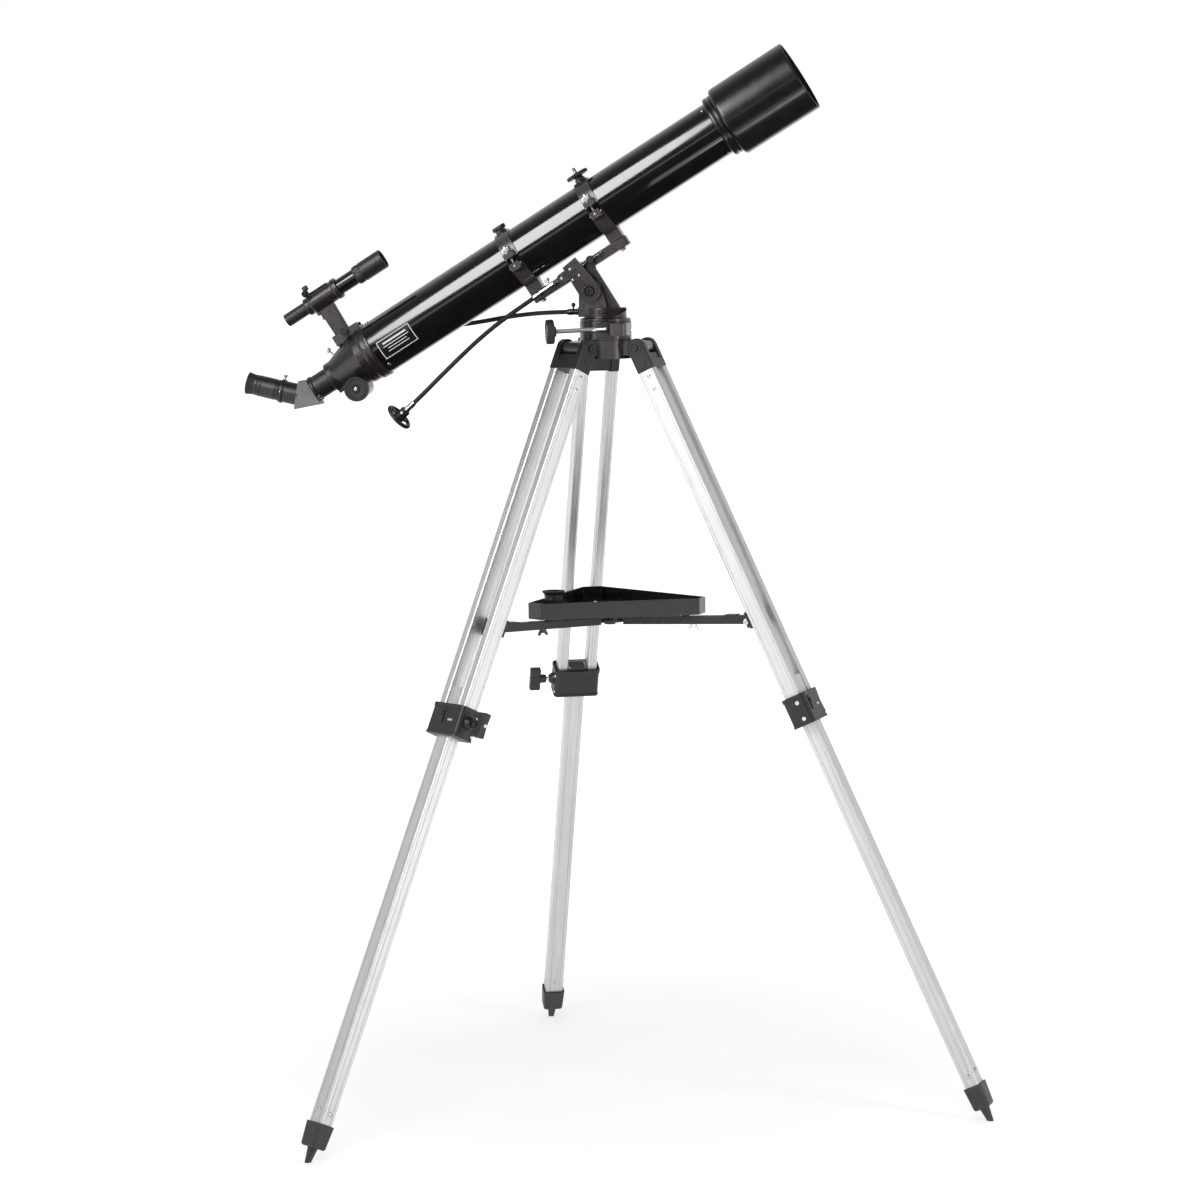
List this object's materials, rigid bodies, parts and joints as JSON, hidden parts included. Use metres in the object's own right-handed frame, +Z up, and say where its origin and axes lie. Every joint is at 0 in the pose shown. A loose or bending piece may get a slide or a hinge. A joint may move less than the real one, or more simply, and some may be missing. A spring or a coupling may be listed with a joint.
{
  "type": "refractor telescope",
  "caption": "Long slim refractor on an alt-azimuth yoke mount with flexible slow-motion cables, standing on a twin-rail extending tripod with a tray.",
  "frame": {"origin": "centre of the object's box, on the floor", "axes": "+Z up; the tube points to +X, turned 8.5 degrees towards -Y and raised 31.6 degrees"},
  "size_m": [1.1856, 1.042, 1.6954],
  "materials": {
    "tube_black": "gloss black paint",
    "shield_black": "satin black",
    "hammered": "dark hammered paint",
    "grey_plastic": "dark grey moulded plastic",
    "black_plastic": "moulded black plastic",
    "aluminium": "satin anodised",
    "chrome": "bright",
    "brass": "turned brass",
    "housing_grey": "mid grey satin",
    "lens_glass": "coated glass",
    "cable_black": "black sleeve"
  },
  "bodies": {
    "tripod": {"tripod_head": "hammered", "leg_yoke_a": "grey_plastic", "leg_yoke_b": "grey_plastic", "leg_yoke_c": "grey_plastic", "leg_rail_a1": "aluminium", "leg_rail_a2": "aluminium", "leg_rail_b1": "aluminium", "leg_rail_b2": "aluminium", "leg_rail_c1": "aluminium", "leg_rail_c2": "aluminium", "leg_clamp_a": "grey_plastic", "leg_clamp_b": "grey_plastic", "leg_clamp_c": "grey_plastic", "spreader_arm_a": "black_plastic", "spreader_arm_b": "black_plastic", "spreader_arm_c": "black_plastic", "spreader_hub": "black_plastic", "azimuth_base": "hammered"},
    "lower_leg_a": {"lower_leg_a": "aluminium", "foot_a": "black_plastic"},
    "lower_leg_b": {"lower_leg_b": "aluminium", "foot_b": "black_plastic"},
    "lower_leg_c": {"lower_leg_c": "aluminium", "foot_c": "black_plastic"},
    "clamp_knob_a": {"clamp_knob_a": "grey_plastic"},
    "clamp_knob_b": {"clamp_knob_b": "grey_plastic"},
    "clamp_knob_c": {"clamp_knob_c": "grey_plastic"},
    "tray": {"tray": "black_plastic"},
    "spare_eyepiece": {"spare_eyepiece": "black_plastic"},
    "azimuth_lock": {"azimuth_lock_knob": "black_plastic"},
    "turning_head": {"azimuth_column": "hammered", "altitude_bolt": "chrome", "azimuth_cable": "cable_black"},
    "azimuth_hand_knob": {"azimuth_cable_knob": "black_plastic"},
    "altitude_nut": {"altitude_nut": "brass"},
    "cradle": {"altitude_cradle": "hammered", "mounting_bar": "hammered", "ring_lower_front": "hammered", "ring_lower_rear": "hammered", "ring_cap_front": "hammered", "ring_cap_rear": "hammered", "main_tube": "tube_black", "lens_cell": "shield_black", "objective_lens": "lens_glass", "focuser_housing": "hammered"},
    "altitude_screw": {"altitude_rod": "chrome", "altitude_cable": "cable_black"},
    "altitude_hand_knob": {"altitude_cable_knob": "black_plastic"},
    "dew_shield": {"dew_shield": "shield_black"},
    "drawtube": {"drawtube": "tube_black"},
    "focus_shaft": {"focus_shaft": "black_plastic"},
    "star_diagonal": {"star_diagonal": "housing_grey"},
    "eyepiece": {"eyepiece": "black_plastic"},
    "finder_bracket": {"finder_bracket": "hammered"},
    "finder_tube": {"finder_tube": "tube_black"},
    "ring_knob_front": {"ring_knob_front": "black_plastic"},
    "ring_knob_rear": {"ring_knob_rear": "black_plastic"},
    "camera_knob": {"camera_knob": "black_plastic"}
  },
  "joints": [
    {"name": "azimuth_turn", "type": "hinge", "parent": "tripod", "child": "turning_head", "pos_m": [-0.0051, -0.0991, 1.2625], "axis": [0, 0, 1], "continuous": true},
    {"name": "altitude_tilt", "type": "hinge", "parent": "turning_head", "child": "cradle", "pos_m": [-0.02488, -0.09614, 1.311], "axis": [-0.1478, -0.989, 0], "range_deg": [-30, 20]},
    {"name": "altitude_nut_swivel", "type": "hinge", "parent": "turning_head", "child": "altitude_nut", "pos_m": [-0.02833, -0.11686, 1.361], "axis": [-0.1478, -0.989, 0], "range_deg": [-16, 11]},
    {"name": "altitude_screw_swing", "type": "hinge", "parent": "cradle", "child": "altitude_screw", "pos_m": [-0.0728, -0.11021, 1.33213], "axis": [-0.1478, -0.989, 0], "range_deg": [-11, 16]},
    {"name": "altitude_hand_knob_turn", "type": "hinge", "parent": "altitude_screw", "child": "altitude_hand_knob", "pos_m": [-0.32531, -0.12461, 1.1261], "axis": [-0.7165, 0.2366, -0.6562], "continuous": true},
    {"name": "azimuth_hand_knob_turn", "type": "hinge", "parent": "turning_head", "child": "azimuth_hand_knob", "pos_m": [-0.36322, 0.05048, 1.24097], "axis": [-0.9785, 0.1699, -0.1166], "continuous": true},
    {"name": "azimuth_lock_turn", "type": "hinge", "parent": "tripod", "child": "azimuth_lock", "pos_m": [-0.00102, -0.1442, 1.2515], "axis": [-0.993, -0.1132, -0.035], "range_deg": [0, 180]},
    {"name": "focus_travel", "type": "slide", "parent": "cradle", "child": "drawtube", "axis": [-0.8424, 0.1259, -0.524], "range_m": [-0.022, 0.06]},
    {"name": "focus_knob_turn", "type": "hinge", "parent": "cradle", "child": "focus_shaft", "pos_m": [-0.39937, -0.04018, 1.1593], "axis": [-0.1478, -0.989, 0], "range_deg": [-110, 300]},
    {"name": "diagonal_turn", "type": "hinge", "parent": "drawtube", "child": "star_diagonal", "pos_m": [-0.47907, -0.02826, 1.15669], "axis": [-0.8424, 0.1259, -0.524], "continuous": true},
    {"name": "eyepiece_pull", "type": "slide", "parent": "star_diagonal", "child": "eyepiece", "axis": [-0.9621, 0.1438, 0.2317], "range_m": [0, 0.03]},
    {"name": "dew_shield_pull", "type": "slide", "parent": "cradle", "child": "dew_shield", "axis": [0.8424, -0.1259, 0.524], "range_m": [0, 0.03]},
    {"name": "finder_slide_off", "type": "slide", "parent": "cradle", "child": "finder_bracket", "axis": [-0.8424, 0.1259, -0.524], "range_m": [0, 0.055]},
    {"name": "finder_aim", "type": "hinge", "parent": "finder_bracket", "child": "finder_tube", "pos_m": [-0.46136, -0.03091, 1.30507], "axis": [-0.1478, -0.989, 0], "range_deg": [-1.5, 1.5]},
    {"name": "ring_knob_front_turn", "type": "hinge", "parent": "cradle", "child": "ring_knob_front", "pos_m": [-0.02491, -0.15579, 1.44462], "axis": [-0.5182, 0.0775, 0.8517], "range_deg": [0, 360]},
    {"name": "ring_knob_rear_turn", "type": "hinge", "parent": "cradle", "child": "ring_knob_rear", "pos_m": [-0.15337, -0.1366, 1.36471], "axis": [-0.5182, 0.0775, 0.8517], "range_deg": [0, 360]},
    {"name": "camera_knob_turn", "type": "hinge", "parent": "cradle", "child": "camera_knob", "pos_m": [-0.01619, -0.09744, 1.44462], "axis": [-0.5182, 0.0775, 0.8517], "continuous": true},
    {"name": "leg_a_retract", "type": "slide", "parent": "tripod", "child": "lower_leg_a", "axis": [0.3175, 0.2731, 0.9081], "range_m": [0, 0.45]},
    {"name": "clamp_knob_a_turn", "type": "hinge", "parent": "tripod", "child": "clamp_knob_a", "pos_m": [-0.22652, -0.34007, 0.64909], "axis": [0.6521, -0.7581, 0], "range_deg": [0, 180]},
    {"name": "leg_b_retract", "type": "slide", "parent": "tripod", "child": "lower_leg_b", "axis": [-0.3952, 0.1384, 0.9081], "range_m": [0, 0.45]},
    {"name": "clamp_knob_b_turn", "type": "hinge", "parent": "tripod", "child": "clamp_knob_b", "pos_m": [0.3143, -0.17037, 0.64909], "axis": [0.3305, 0.9438, 0], "range_deg": [0, 180]},
    {"name": "leg_c_retract", "type": "slide", "parent": "tripod", "child": "lower_leg_c", "axis": [0.0777, -0.4115, 0.9081], "range_m": [0, 0.45]},
    {"name": "clamp_knob_c_turn", "type": "hinge", "parent": "tripod", "child": "clamp_knob_c", "pos_m": [-0.10308, 0.21314, 0.64909], "axis": [-0.9826, -0.1857, 0], "range_deg": [0, 180]},
    {"name": "tray_lift", "type": "slide", "parent": "tripod", "child": "tray", "axis": [0, 0, 1], "range_m": [0, 0.06]},
    {"name": "spare_eyepiece_lift", "type": "slide", "parent": "tray", "child": "spare_eyepiece", "axis": [0, 0, 1], "range_m": [0, 0.06]}
  ],
  "couplings": [
    {"joint": "altitude_nut_swivel", "follows": "altitude_tilt", "ratio": 0.5},
    {"joint": "altitude_screw_swing", "follows": "altitude_tilt", "ratio": -0.5},
    {"joint": "focus_knob_turn", "follows": "focus_travel", "rad_per_m": 84.7}
  ]
}
